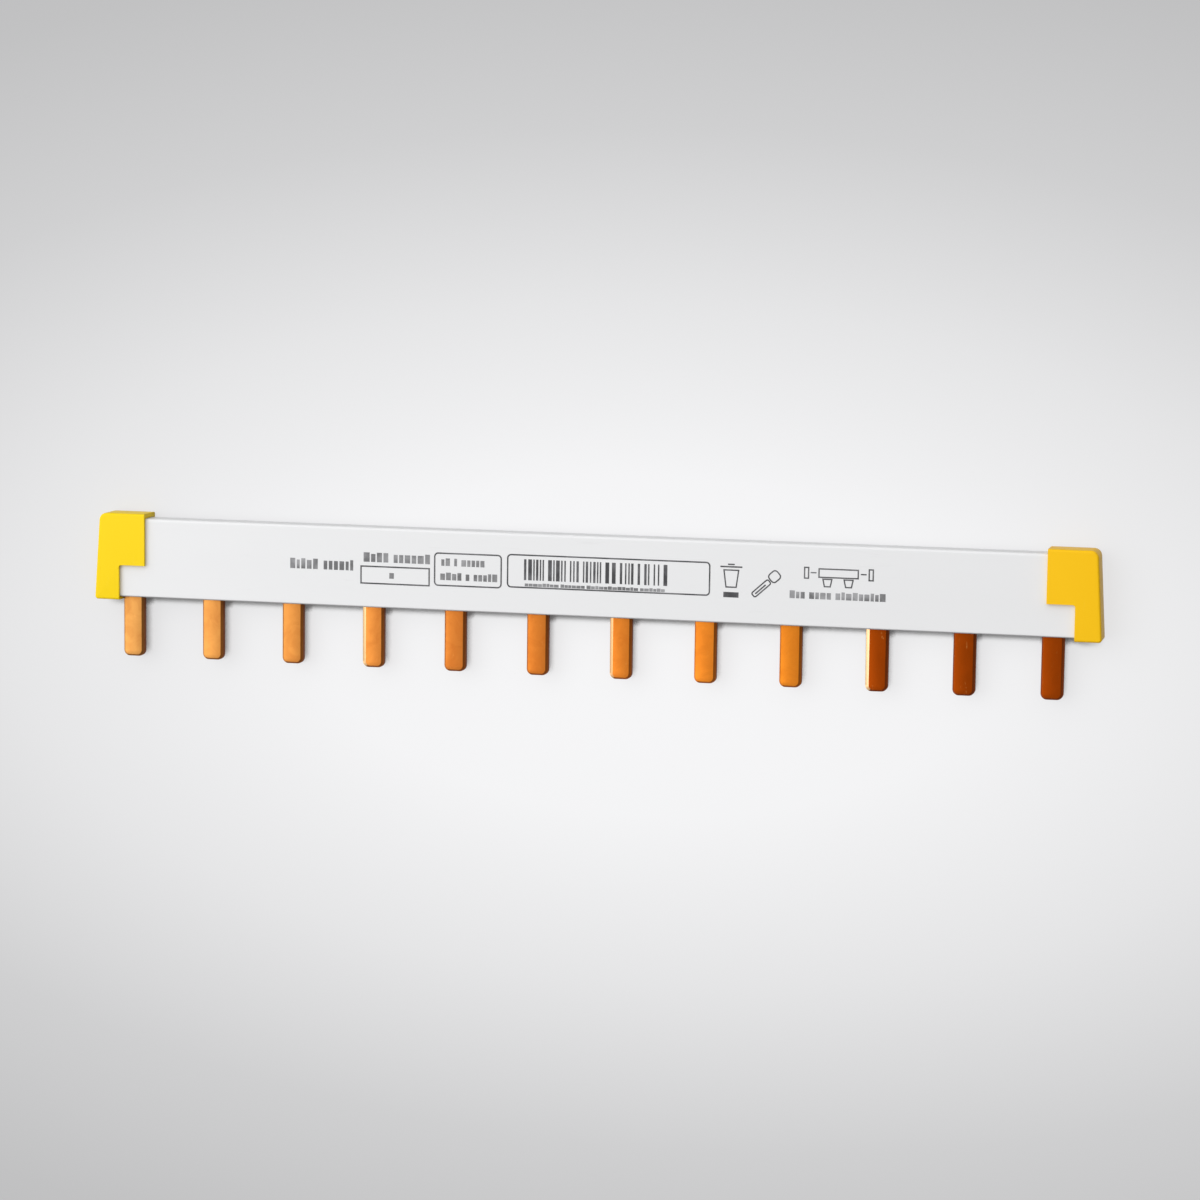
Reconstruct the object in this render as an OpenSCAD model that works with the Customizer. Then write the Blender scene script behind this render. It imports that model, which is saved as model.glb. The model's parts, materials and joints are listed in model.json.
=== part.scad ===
// Single-pole comb busbar. A stamped copper comb lies in a white insulating profile, and a
// yellow moulded cap is pushed over each end. The bar lies on its back: it runs along X, its
// teeth point to -Y and its front face looks up, to +Z.
// The origin is the middle of the outline in X and Y, on the surface that the bar lies on.

/* [Copper comb] */
// Number of teeth, one for each module that the bar feeds
teeth = 12; // [2:1:18]
// Distance from the centre of one tooth to the next, which is one module
pitch = 18; // [16:0.5:27]
// Width of a tooth
tooth_w = 4.6; // [3.4:0.1:6]
// Thickness of the copper strip
strip_t = 2; // [1.4:0.1:3]
// Length of a tooth that stands out of the housing
tooth_out = 13; // [8:0.5:18]
// Height of the solid spine that joins the teeth
spine_h = 10; // [7:0.5:14]
// Radius of the two corners at a tooth's tip
tip_r = 1.3; // [0.7:0.1:1.6]
// Width of the bevel coined along a tooth's edges
coin = 0.35; // [0.1:0.05:0.5]
// Radius of the fillets where a tooth leaves the spine
root_r = 1; // [0.4:0.1:1.6]

/* [Housing] */
// Thickness of the front and back walls
wall = 1.1; // [0.8:0.1:2]
// Thickness of the web that closes the profile over the spine
web = 1.4; // [1:0.1:2.5]
// Distance from the spine's lower edge to the mouth of the profile
skirt = 5.5; // [4:0.1:8]
// Radius of the long edges at the web
top_r = 0.6; // [0.3:0.1:0.8]
// Radius of the long edges at the mouth
foot_r = 0.4; // [0.2:0.1:0.6]
// Room between the strip's faces and the walls
relief = 0.4; // [0.3:0.1:0.8]
// Play of the strip in its groove, between the beads and between the lips
slip = 0.1; // [0.05:0.05:0.2]
// Depth of the groove that holds the spine's upper edge
groove_d = 1.2; // [0.6:0.1:2]
// Height of the lips that narrow the mouth
lip_h = 1.1; // [0.6:0.1:1.6]

/* [End caps] */
// Distance from the bar's left end to the centre of the first tooth
left_margin = 8; // [7.8:0.1:12]
// Distance from the centre of the last tooth to the bar's right end
right_margin = 10; // [7.8:0.1:12]
// Length of a cap along its upper part, from the end of the bar
cap_len = 11.3; // [9:0.1:14]
// Height of a cap's foot, its shorter lower part, which clears the end tooth
step_h = 7.5; // [4:0.1:10]
// Gap between a cap's foot and the end tooth, at the end of the bar that has less room
tooth_gap = 0.2; // [0.1:0.1:1]
// Thickness of a cap's front and back walls
cap_wall = 0.7; // [0.6:0.1:1.5]
// Thickness of a cap over the housing's web
crown = 0.9; // [0.6:0.05:1.5]
// Thickness of a cap under the housing's mouth
sole = 0.55; // [0.4:0.05:1]
// Thickness of a cap's end wall where it is thinnest, at the crown
cap_end = 1.1; // [0.9:0.1:2]
// Lean of the end wall, in degrees: the cap gets longer towards the teeth
draft = 3.5; // [0.5:0.5:5]
// Radius of the corner between crown and end wall
crown_r = 1.5; // [1.2:0.1:2.4]
// Radius of the corner between end wall and sole
heel_r = 0.7; // [0.6:0.1:1]
// Radius of the edges all round a cap's front and back
edge_r = 0.5; // [0.2:0.1:0.5]
// Radius in the corner of the step
step_r = 0.5; // [0.2:0.1:1]
// Clearance between a cap and the housing, bridged by the crush ribs
cap_fit = 0.1; // [0.05:0.05:0.3]
// Width of a crush rib
rib_w = 0.8; // [0.4:0.1:1.2]
// Length of the pad that enters the profile and stops the strip
pad_len = 0.8; // [0.4:0.1:1.5]
// Gap between that pad and the end of the strip
end_play = 0.3; // [0.1:0.1:0.6]

/* [Hidden] */
$fn = 48;
// Overlap of shapes that are fused, and reach of a cut past the face it opens
fuse = 0.5;

// Housing section
channel_w = strip_t + 2 * relief;
slot_w = strip_t + 2 * slip;
housing_t = channel_w + 2 * wall;
housing_h = web + slip + spine_h + skirt;

// Heights over the surface
back_z = cap_wall + cap_fit;
mid_z = back_z + housing_t / 2;
cap_t = housing_t + 2 * back_z;

// Places across the bar, from the tips of the teeth to the caps' crowns
overall_w = tooth_out + housing_h + cap_fit + crown;
tip_y = -overall_w / 2;
foot_y = tip_y + tooth_out;
top_y = foot_y + housing_h;
spine_top_y = top_y - web - slip;
spine_foot_y = spine_top_y - spine_h;
bead_r = relief - slip;
bead_y = spine_foot_y + 2 * bead_r;
sole_y = foot_y - cap_fit - sole;
crown_y = top_y + cap_fit + crown;

// Places along the bar
bar_end = (left_margin + (teeth - 1) * pitch + right_margin) / 2;
first_tooth_x = left_margin - bar_end;
cap_mouth_x = bar_end - cap_len;
foot_x = bar_end - min(left_margin, right_margin) + tooth_w / 2 + tooth_gap;
step_y = sole_y + step_h;

// Centres of a cap's two rounded corners; the line that touches both leans by the draft
heel_c = [bar_end - heel_r, sole_y + heel_r];
crown_c_y = crown_y - crown_r;
lean_x = (crown_c_y - heel_c.y) * tan(draft) + (crown_r - heel_r) / cos(draft);
crown_c = [heel_c.x - lean_x, crown_c_y];
housing_end = crown_c.x + crown_r - cap_end;
spine_end = housing_end - pad_len - end_play;

// Rectangle with its corners cut off at 45 degrees, centred
function bevelled(w, h, c) = [
    [-w / 2 + c, -h / 2], [w / 2 - c, -h / 2], [w / 2, -h / 2 + c], [w / 2, h / 2 - c],
    [w / 2 - c, h / 2], [-w / 2 + c, h / 2], [-w / 2, h / 2 - c], [-w / 2, -h / 2 + c]];

// Rectangle from corner a to corner b: radius ra at the corners of low x, rb at those of high x
module round_box(a, b, ra, rb) {
    translate([a.x + ra, a.y]) square([b.x - a.x - ra - rb, b.y - a.y]);
    translate([a.x, a.y + ra]) square([2 * ra, b.y - a.y - 2 * ra]);
    translate([b.x - 2 * rb, a.y + rb]) square([2 * rb, b.y - a.y - 2 * rb]);
    for (y = [a.y + ra, b.y - ra]) translate([a.x + ra, y]) circle(ra);
    for (y = [a.y + rb, b.y - rb]) translate([b.x - rb, y]) circle(rb);
}

// Runs a section, drawn as (Y, Z), along the bar from x0 to x1
module along_bar(x0, x1) {
    translate([x0, 0, 0]) rotate([90, 0, 90]) linear_extrude(x1 - x0) children();
}

// Outline of the housing's section, grown by a clearance
module housing_outline(grow = 0) {
    round_box([foot_y - grow, back_z - grow], [top_y + grow, back_z + housing_t + grow],
              foot_r + grow, top_r + grow);
}

// The channel in the section: groove, room for the strip, and the slot between the lips
module channel() {
    channel_top_y = top_y - web - groove_d;
    translate([foot_y - fuse, mid_z - slot_w / 2]) square([housing_h - web + fuse, slot_w]);
    difference() {
        translate([foot_y + lip_h, mid_z - channel_w / 2])
            square([channel_top_y - foot_y - lip_h, channel_w]);
        for (side = [-1, 1]) translate([bead_y, mid_z + side * channel_w / 2]) circle(bead_r);
    }
}

module housing() {
    color([0.94, 0.95, 0.96]) along_bar(-housing_end, housing_end) difference() {
        housing_outline();
        channel();
    }
}

// Stamped outline of the spine with the roots of the teeth, down to root_y
module spine_outline(root_y) {
    translate([-spine_end, spine_foot_y]) square([2 * spine_end, spine_h]);
    for (i = [0 : teeth - 1]) translate([first_tooth_x + i * pitch, 0]) {
        translate([-tooth_w / 2, root_y]) square([tooth_w, spine_foot_y - root_y + fuse]);
        for (side = [0, 1]) mirror([side, 0]) difference() {
            translate([tooth_w / 2 - fuse, spine_foot_y - root_r])
                square([root_r + fuse, root_r + fuse]);
            translate([tooth_w / 2 + root_r, spine_foot_y - root_r]) circle(root_r);
        }
    }
}

// Part of a tooth with coined edges, from its tip up to root_y: shank, tip and two round corners
module tooth_blade(root_y) {
    corner_y = tip_y + tip_r;
    rotate([90, 0, 0]) translate([0, 0, -root_y]) linear_extrude(root_y - corner_y)
        polygon(bevelled(tooth_w, strip_t, coin));
    translate([0, corner_y, 0]) rotate([90, 0, 90])
        linear_extrude(tooth_w - 2 * tip_r, center = true)
            polygon(bevelled(2 * tip_r, strip_t, coin));
    for (side = [-1, 1]) translate([side * (tooth_w / 2 - tip_r), corner_y, 0])
        rotate([0, 0, side * 45 - 135]) rotate_extrude(angle = 90) intersection() {
            polygon(bevelled(2 * tip_r, strip_t, coin));
            translate([0, -strip_t / 2]) square([tip_r, strip_t]);
        }
}

module copper_comb() {
    root_y = foot_y + lip_h;
    color([0.86, 0.52, 0.27]) translate([0, 0, mid_z]) {
        linear_extrude(strip_t, center = true) spine_outline(root_y);
        for (i = [0 : teeth - 1]) translate([first_tooth_x + i * pitch, 0, 0])
            tooth_blade(root_y);
    }
}

// Disc as thick as the cap, with rounded rims
module rounded_disc(r) {
    rotate_extrude() intersection() {
        round_box([-r, 0], [r, cap_t], edge_r, edge_r);
        square([r, cap_t]);
    }
}

// Solid outside form of the cap at the +X end: its edges are rounded all round, its mouth is flat
module cap_form() {
    hull($fn = 32) {
        translate(heel_c) rounded_disc(heel_r);
        translate(crown_c) rounded_disc(crown_r);
        along_bar(cap_mouth_x, cap_mouth_x + edge_r)
            round_box([sole_y, 0], [crown_y, cap_t], edge_r, edge_r);
    }
}

// Crush ribs on a cap's front and back walls, which bear on the housing
module crush_ribs() {
    rib_x = cap_mouth_x + fuse;
    for (y = [step_y + rib_w, top_y - top_r - 2 * rib_w], z = [back_z - cap_fit, back_z + housing_t])
        translate([rib_x, y, z]) cube([housing_end - rib_x, rib_w, cap_fit]);
}

// Pad as thick as the strip that enters the profile and keeps the strip in place
module stop_pad() {
    translate([housing_end - pad_len, spine_foot_y + root_r, mid_z - strip_t / 2])
        cube([pad_len + fuse, spine_h - 2 * root_r, strip_t]);
}

// Cap for the +X end of the bar; both ends take this one moulding
module right_end_cap() {
    corner = 2 * step_r + fuse;
    color([0.99, 0.8, 0.16]) {
        difference() {
            cap_form();
            along_bar(cap_mouth_x - fuse, housing_end) housing_outline(cap_fit);
            translate([0, 0, -fuse]) linear_extrude(cap_t + 2 * fuse)
                round_box([cap_mouth_x - corner, sole_y - corner], [foot_x, step_y],
                          step_r, step_r);
        }
        crush_ribs();
        stop_pad();
    }
}

module left_end_cap() {
    mirror([1, 0, 0]) right_end_cap();
}

housing();
copper_comb();
left_end_cap();
right_end_cap();
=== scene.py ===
"""Looks of a single-pole comb busbar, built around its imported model.

The bar lies on its back. It runs along X, its teeth point to -Y and its printed face looks up,
to +Z.
"""

import json
import math
import random

import bmesh
import bpy
from bpy.props import FloatProperty, FloatVectorProperty, IntProperty, PointerProperty
from mathutils import Matrix, Vector


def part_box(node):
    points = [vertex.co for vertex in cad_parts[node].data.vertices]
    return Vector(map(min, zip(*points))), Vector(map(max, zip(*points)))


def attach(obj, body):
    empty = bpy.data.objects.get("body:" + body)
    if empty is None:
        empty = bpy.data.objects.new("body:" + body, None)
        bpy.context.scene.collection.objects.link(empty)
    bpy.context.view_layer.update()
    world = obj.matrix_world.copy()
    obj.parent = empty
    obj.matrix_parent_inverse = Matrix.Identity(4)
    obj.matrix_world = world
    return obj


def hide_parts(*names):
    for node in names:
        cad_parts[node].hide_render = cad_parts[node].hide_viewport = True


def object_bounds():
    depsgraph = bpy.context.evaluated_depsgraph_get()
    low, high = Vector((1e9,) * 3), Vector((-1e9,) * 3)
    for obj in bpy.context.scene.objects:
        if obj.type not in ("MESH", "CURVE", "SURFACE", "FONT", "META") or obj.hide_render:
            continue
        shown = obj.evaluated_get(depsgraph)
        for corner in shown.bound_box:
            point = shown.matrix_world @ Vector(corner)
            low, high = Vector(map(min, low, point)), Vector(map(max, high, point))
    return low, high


bl_info = {
    "name": "Comb Busbar",
    "version": (1, 0, 0),
    "blender": (4, 5, 0),
    "location": "3D View > Sidebar > Busbar",
    "description": "Builds the looks of a comb busbar around its packed model",
    "category": "Object",
}

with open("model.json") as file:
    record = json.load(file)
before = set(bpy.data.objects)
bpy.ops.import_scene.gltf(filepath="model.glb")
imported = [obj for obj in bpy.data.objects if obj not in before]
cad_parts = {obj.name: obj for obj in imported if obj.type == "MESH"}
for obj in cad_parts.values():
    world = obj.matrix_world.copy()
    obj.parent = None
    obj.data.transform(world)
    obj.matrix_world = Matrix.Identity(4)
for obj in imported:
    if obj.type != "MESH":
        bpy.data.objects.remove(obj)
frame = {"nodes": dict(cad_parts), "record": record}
CAD_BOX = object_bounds()
MM = 0.001
HOUSING_LOW, HOUSING_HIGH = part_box("housing")
COMB_LOW, COMB_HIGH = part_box("copper_comb")
TEETH_X = sorted(mount["pos_m"][0] for mount in frame["record"]["mounts"]
                 if mount["name"].startswith("tooth_"))
ROW_MIDDLE = (TEETH_X[0] + TEETH_X[-1]) / 2


# ---------------------------------------------------------------------------
# Fixed values
# ---------------------------------------------------------------------------

# Distances under TINY count as none, and corners nearer than DOUBLE become one
TINY = 0.001 * MM
DOUBLE = 0.0001 * MM
# How far shapes that are joined reach into each other
SUNK = 0.3 * MM
# How far the block that hollows a cap starts outside the cap's mouth
OUTSIDE = 2 * MM

# Angle from which a tooth's edge is coined, and from which any edge of the comb is then broken
COINED_FROM = math.radians(60)
BROKEN_FROM = math.radians(28)
# Angle from which an edge is shaded as one, on the pieces and on the ink
EDGE_FROM = math.radians(32)
INK_EDGE_FROM = math.radians(20)
# Part of a face's normal along an axis that makes the face count as turned that way
TURNED = 0.3
# How steeply wear and the painted highlight grow with a tooth's tone, so that only a few teeth get
# wide left bevels with a painted highlight
WEAR_AND_HIGHLIGHT_POWER = 4
# How much painted shade the bevels get at the right and at the tip
RIGHT_AND_TIP_SHADE = 0.6

# The housing and the caps where they are rubbed, and the painted highlight on the copper's left
# bevels
RUBBED_WHITE = (0.66, 0.66, 0.67)
RUBBED_YELLOW = (1.0, 0.8, 0.15)
COPPER_HIGHLIGHT = (0.96, 0.70, 0.38)
# Width of the strip of painted shade along the housing's mouth
MOUTH_SHADE_WIDTH = 0.3 * MM

# Printed marks in millimetres: two ends along the bar, from its middle, and two heights over the
# housing's mouth. A frame also says whether its corners are round.
FRAMES = ((-48.4, -33.1, 5.0, 8.9, False),
          (-32.2, -17.4, 5.2, 12.3, True),
          (-16.3, 27.2, 5.5, 12.6, True))
STRIPED_FIELD = (-12.6, 17.5, 7.2, 11.6)
BAR_WIDTHS = (0.3, 0.3, 0.5, 0.8)
BAR_GAPS = (0.3, 0.4, 0.6, 0.9)
# Lines of blocks, with the number of blocks in each of their words
BLOCK_LINES = ((-64.0, -50.0, 7.7, 9.9, (5, 6)),
               (-47.7, -33.1, 9.7, 11.7, (4, 6)),
               (-42.0, -41.0, 6.3, 7.5, (1,)),
               (-30.6, -21.2, 9.5, 11.1, (2, 1, 5)),
               (-30.8, -18.4, 6.5, 8.1, (4, 1, 5)),
               (-12.4, 17.6, 5.9, 6.6, (8, 6, 12, 6)),
               (43.9, 63.8, 5.8, 7.4, (3, 4, 9)))
# Gaps between blocks and words, and what a low block lacks, as shares of the line's height
BLOCK_GAP = 0.16
WORD_GAP = 0.6
LOW_BLOCK_LACKS = 0.15
# Least width of a block, how much its width varies, and how often a block is tall
BLOCK_LEAST = 0.7
BLOCK_SPREAD = 0.6
TALL_BLOCKS = 0.4
# A tapered container, its lid and handle, and the bar under it
CONTAINER = (29.9, 33.3, 7.4, 11.2)
CONTAINER_TAPER = 0.7
CONTAINER_PLATES = ((29.3, 33.9, 11.6, 11.9), (30.9, 32.3, 12.1, 12.4), (30.0, 33.2, 5.4, 6.5))
# A hand tool: its handle and head with their corner radii, a slot, and the place it turns about
TOOL_RINGS = ((35.2, 40.0, 7.7, 9.1, 0.5 * MM), (40.1, 42.6, 7.3, 9.6, 0.8 * MM))
TOOL_SLOT = (35.9, 38.8, 8.2, 8.5)
TOOL_PIVOT = (38.9, 8.4)
TOOL_LEAN = math.radians(42)
# A bar on two pegs, with a loose cap and a dash at each side
LONG_BAR = (49.8, 58.2, 10.2, 12.2)
PEGS = ((50.6, 52.8, 8.3, 10.1), (55.0, 57.2, 8.3, 10.1))
PEG_TAPER = 0.65
LOOSE_CAPS = ((46.8, 47.9, 9.9, 12.4), (60.2, 61.3, 9.9, 12.4))
DASHES = ((48.2, 49.4, 11.1, 11.35), (58.6, 59.8, 11.1, 11.35))

# The painted pool of light on the floor: its middle, its reach, and its tones from the middle
# outwards
LIGHT_SPOT_PLACE = (0.012, -0.009, 0)
LIGHT_SPOT_REACH = (0.36, 0.18, 1)
LIGHT_SPOT_TONES = ((0.0, 1.0), (0.2, 0.97), (0.4, 0.84), (0.6, 0.67), (0.8, 0.57), (1.0, 0.52))
# How far the floor goes to each side
FLOOR_REACH = 3
# How near a thing has to be to darken the floor's own tone, and over what width that sets in
CONTACT_REACH = 2.7 * MM
CONTACT_FADE = 4 * MM
# What is seen past the floor
BEYOND_FLOOR = (0.55, 0.55, 0.56)
# Tones of the soft light, from level to straight above
SKY_TONES = ((0.0, 0.55), (0.25, 0.8), (0.55, 1.2), (0.8, 1.15), (1.0, 0.75))
# The way along the floor in which the soft light is weakest, and its shares there and opposite
SHADY_SIDE = (0.6, -0.8, 0.0)
SHADY_SHARE = 0.1
LIT_SHARE = 1.9
# Where the key lamp hangs
KEY_PLACE = (-0.65, 0.25, 0.92)
# What the camera looks at, from the middle of the row of teeth and from the housing's mouth
AIM = (4.83 * MM, 3.69 * MM)


# ---------------------------------------------------------------------------
# Settings
# ---------------------------------------------------------------------------

def length(name, description, default):
    """A length in metres, given in millimetres."""
    return FloatProperty(name=name, description=description, default=default * MM,
                         min=0, precision=5, unit="LENGTH")


def angle(name, description, default):
    """An angle in radians, given in degrees."""
    return FloatProperty(name=name, description=description, default=math.radians(default),
                         subtype="ANGLE")


def colour(name, description, default):
    """A colour in linear light."""
    return FloatVectorProperty(name=name, description=description, default=default,
                               size=3, min=0, max=1, subtype="COLOR")


class CombSizes(bpy.types.PropertyGroup):
    """Sizes of the stamped copper comb"""
    tooth_width: length("Tooth width", "Width of a tooth", 4.6)
    spine_height: length("Spine height", "Height of the spine that joins the teeth", 10)
    tip_radius: length("Tip radius", "Radius of the two corners at a tooth's tip", 1.3)
    coin_width: length("Coin", "Width of the bevel coined along a tooth's edges", 0.35)
    coin_reach: length("Coin reach", "How far the bevel runs into the housing", 1.1)
    root_radius: length("Root radius", "Fillet where a tooth leaves the spine", 1)
    burnish: length("Burnished coin", "How much wider wear makes the left bevel at most", 0.45)
    drag: length("Dragged coin", "How much wider the bevels are at the right and the tip", 0.15)
    break_edge: length("Broken edge", "Rounding that polishing leaves on a sharp edge", 0.06)
    # The seed also sets which teeth get the painted highlight on their left bevels
    seed: IntProperty(name="Seed", default=118473,
                      description="Starts the spread of the teeth's tones and wear. This one was "
                                  "picked because it burnishes the teeth 4, 7 and 10")


class CapSizes(bpy.types.PropertyGroup):
    """Sizes of the moulded end caps"""
    upper_length: length("Upper length", "Length of a cap along its upper part", 11.3)
    step_height: length("Step height", "Height of a cap's foot, its shorter lower part", 7.5)
    tooth_gap: length("Tooth gap", "Least gap between a cap's foot and the end tooth", 0.2)
    room_fit: length("Fit", "Clearance between a cap and the housing", 0.1)
    room_radius: length("Room radius", "Long edges of the hollow that takes the housing", 0.5)
    crown_radius: length("Crown radius", "Corner between crown and end wall", 1.5)
    heel_radius: length("Heel radius", "Corner between end wall and sole", 0.7)
    step_radius: length("Step radius", "Radius in the corner of the step", 0.5)
    rim_radius: length("Rim radius", "Edges all round a cap's front and back", 0.5)
    rib_width: length("Rib width", "Width of a crush rib", 0.8)
    pad_length: length("Pad length", "Length of the pad that stops the strip", 0.8)
    draft: angle("Draft", "Lean of the end wall", 3.5)


class PrintSizes(bpy.types.PropertyGroup):
    """Sizes of the printed marks"""
    thickness: length("Ink thickness", "How far the ink stands proud", 0.025)
    line: length("Line", "Width of a frame's line", 0.3)
    sign_line: length("Sign line", "Width of a line in a sign", 0.27)
    corner: length("Corner", "Corner radius of a frame", 0.9)
    seed: IntProperty(name="Seed", description="Starts the spread of blocks and bars", default=7)


class Finishes(bpy.types.PropertyGroup):
    """Colours of the plastics, the copper and the ink"""
    housing: colour("Housing", "White extruded plastic", (0.84, 0.842, 0.85))
    # Colour of the painted shade along the profile's mouth
    mouth_shade: colour("Mouth edge", "Painted shade along the profile's mouth", (0.17, 0.17, 0.175))
    left_cap: colour("Left cap", "Moulded plastic of the left cap", (0.99, 0.70, 0.004))
    right_cap: colour("Right cap", "Moulded plastic of the right cap", (1.0, 0.585, 0.006))
    ink: colour("Ink", "Dark grey marking ink", (0.05, 0.05, 0.054))
    pale_ink: colour("Pale ink", "Ink of the block lines, faint as small print",
                     (0.15, 0.15, 0.155))
    # The copper colours from fresh to dark make a ramp along the bar, paler at the left and darker
    # towards the right
    fresh_copper: colour("Fresh copper", "Copper where it is palest, at the left",
                         (0.82, 0.385, 0.10))
    mild_copper: colour("Mild copper", "Copper that has only dulled", (0.74, 0.285, 0.058))
    warm_copper: colour("Warm copper", "Copper with a light tarnish", (0.82, 0.25, 0.04))
    rich_copper: colour("Rich copper", "Copper of the last bright tooth", (1.0, 0.31, 0.024))
    dark_copper: colour("Dark copper", "Copper with a heavy tarnish", (0.43, 0.068, 0.003))
    # Colour of the sheared faces; it also paints the shade of the teeth's sides and of the bevels
    # at the right and the tip
    cut_and_shade_copper: colour("Cut copper", "Rough faces that the press has sheared",
                       (0.20, 0.055, 0.015))


class Studio(bpy.types.PropertyGroup):
    """The floor, the light and the camera"""
    floor_glow: FloatProperty(name="Floor glow", default=0.8, min=0, max=1,
                              description="Share of the floor's tone that needs no light")
    floor_middle: colour("Floor", "Floor behind the bar", (0.94, 0.94, 0.95))
    key_power: FloatProperty(name="Key", description="Power of the key lamp", default=5.5, min=0,
                             unit="POWER")
    key_size: length("Key size", "Width of the key lamp", 1200)
    fill: FloatProperty(name="Fill", description="Strength of the soft light all round",
                        default=0.7, min=0)
    lens: FloatProperty(name="Lens", description="Focal length in millimetres", default=108, min=20)
    distance: length("Distance", "From the camera to the bar", 749)
    azimuth: angle("Azimuth", "Lean of the view towards the right cap", 13.8)
    elevation: angle("Elevation", "Lean of the view away from the teeth", 7)
    roll: angle("Roll", "Turn of the picture about the view", 0.75)


class BusbarSettings(bpy.types.PropertyGroup):
    """Everything about the busbar that can be changed"""
    comb: PointerProperty(type=CombSizes)
    caps: PointerProperty(type=CapSizes)
    marks: PointerProperty(type=PrintSizes)
    finishes: PointerProperty(type=Finishes)
    studio: PointerProperty(type=Studio)


# ---------------------------------------------------------------------------
# Nodes and node groups
# ---------------------------------------------------------------------------

def add_node(tree, kind, inputs=None, **settings):
    """Adds a node, sets its properties, and sets or links its inputs."""
    node = tree.nodes.new(kind)
    for name, value in settings.items():
        setattr(node, name, value)
    for key, value in (inputs or {}).items():
        if isinstance(value, bpy.types.NodeSocket):
            tree.links.new(value, node.inputs[key])
        else:
            node.inputs[key].default_value = value
    return node


def object_place(tree):
    return add_node(tree, "ShaderNodeTexCoord").outputs["Object"]


def axes(tree, vector):
    """The X, Y and Z parts of a vector."""
    return add_node(tree, "ShaderNodeSeparateXYZ", {0: vector}).outputs


def math_node(tree, operation, a, b, clamp=False):
    return add_node(tree, "ShaderNodeMath", {0: a, 1: b}, operation=operation,
                    use_clamp=clamp).outputs[0]


def plus(tree, a, b):
    return math_node(tree, "ADD", a, b)


def minus(tree, a, b):
    return math_node(tree, "SUBTRACT", a, b)


def times(tree, a, b, clamp=False):
    return math_node(tree, "MULTIPLY", a, b, clamp)


def vector_node(tree, operation, output, *vectors):
    return add_node(tree, "ShaderNodeVectorMath", dict(enumerate(vectors)),
                    operation=operation).outputs[output]


def fade(tree, value, start, end):
    """Goes evenly from 0, where the value is start, to 1, where it is end. Level past both."""
    return add_node(tree, "ShaderNodeMapRange", {"Value": value, "From Min": start,
                                                 "From Max": end}).outputs["Result"]


def spread(tree, share, low, high):
    """Turns a value from 0 to 1 into one from low to high."""
    return add_node(tree, "ShaderNodeMapRange", {"Value": share, "To Min": low,
                                                 "To Max": high}).outputs["Result"]


def ramp(tree, factor, stops):
    """A colour ramp through (position, grey or colour) stops."""
    node = add_node(tree, "ShaderNodeValToRGB", {"Fac": factor})
    elements = node.color_ramp.elements
    while len(elements) < len(stops):
        elements.new(0.5)
    for element, (position, value) in zip(elements, stops):
        grey = isinstance(value, float)
        element.position = position
        element.color = (value, value, value, 1) if grey else (*value, 1)
    return node.outputs["Color"]


def mix_colour(tree, factor, a, b, blend="MIX"):
    node = add_node(tree, "ShaderNodeMix", {"Factor": factor}, data_type="RGBA", blend_type=blend)
    for socket, value in ((node.inputs[6], a), (node.inputs[7], b)):
        if isinstance(value, bpy.types.NodeSocket):
            tree.links.new(value, socket)
        else:
            socket.default_value = (*value, 1)
    return node.outputs[2]


def noise(tree, place, scale, detail, roughness=0.5, distortion=0.0):
    return add_node(tree, "ShaderNodeTexNoise", {
        "Vector": place, "Scale": scale, "Detail": detail, "Roughness": roughness,
        "Distortion": distortion}).outputs["Fac"]


def bump(tree, height, distance, strength):
    return add_node(tree, "ShaderNodeBump", {"Height": height, "Distance": distance,
                                             "Strength": strength}).outputs["Normal"]


def new_group(name, inputs, outputs):
    """A node group with named float and vector inputs and float outputs."""
    tree = bpy.data.node_groups.new(name, "ShaderNodeTree")
    for label, value in inputs.items():
        kind = "NodeSocketVector" if isinstance(value, tuple) else "NodeSocketFloat"
        socket = tree.interface.new_socket(name=label, in_out="INPUT", socket_type=kind)
        socket.default_value = value
    for label in outputs:
        tree.interface.new_socket(name=label, in_out="OUTPUT", socket_type="NodeSocketFloat")
    return tree, tree.nodes.new("NodeGroupInput").outputs, tree.nodes.new("NodeGroupOutput").inputs


def grain_group():
    """Even fine texture. Stretch squeezes it along an axis, as rolling or drawing does."""
    tree, inputs, outputs = new_group("Fine Grain", {"Scale": 900.0, "Stretch": (1.0, 1.0, 1.0)},
                                      ["Height", "Tone"])
    stretched = vector_node(tree, "MULTIPLY", 0, object_place(tree), inputs["Stretch"])
    fine = noise(tree, stretched, inputs["Scale"], detail=4.0, roughness=0.6)
    broad = noise(tree, stretched, times(tree, inputs["Scale"], 0.11), detail=3.0)
    tree.links.new(fine, outputs["Height"])
    tree.links.new(broad, outputs["Tone"])
    return tree


def scuff_group():
    """Thin rubbed lines, gathered in patches. Amount is how much of a patch they cover."""
    tree, inputs, outputs = new_group(
        "Scuffs", {"Scale": 60.0, "Amount": 0.3, "Stretch": (1.0, 8.0, 8.0)}, ["Mask"])
    place = object_place(tree)
    stretched = vector_node(tree, "MULTIPLY", 0, place, inputs["Stretch"])
    lines = noise(tree, stretched, inputs["Scale"], detail=6.0, roughness=0.75, distortion=0.4)
    thin = ramp(tree, lines, [(0.60, 0.0), (0.70, 1.0)])
    patches = noise(tree, place, times(tree, inputs["Scale"], 0.9), detail=2.0)
    near = ramp(tree, patches, [(0.45, 0.0), (0.62, 1.0)])
    both = times(tree, thin, near)
    tree.links.new(times(tree, both, inputs["Amount"], clamp=True), outputs["Mask"])
    return tree


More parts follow.
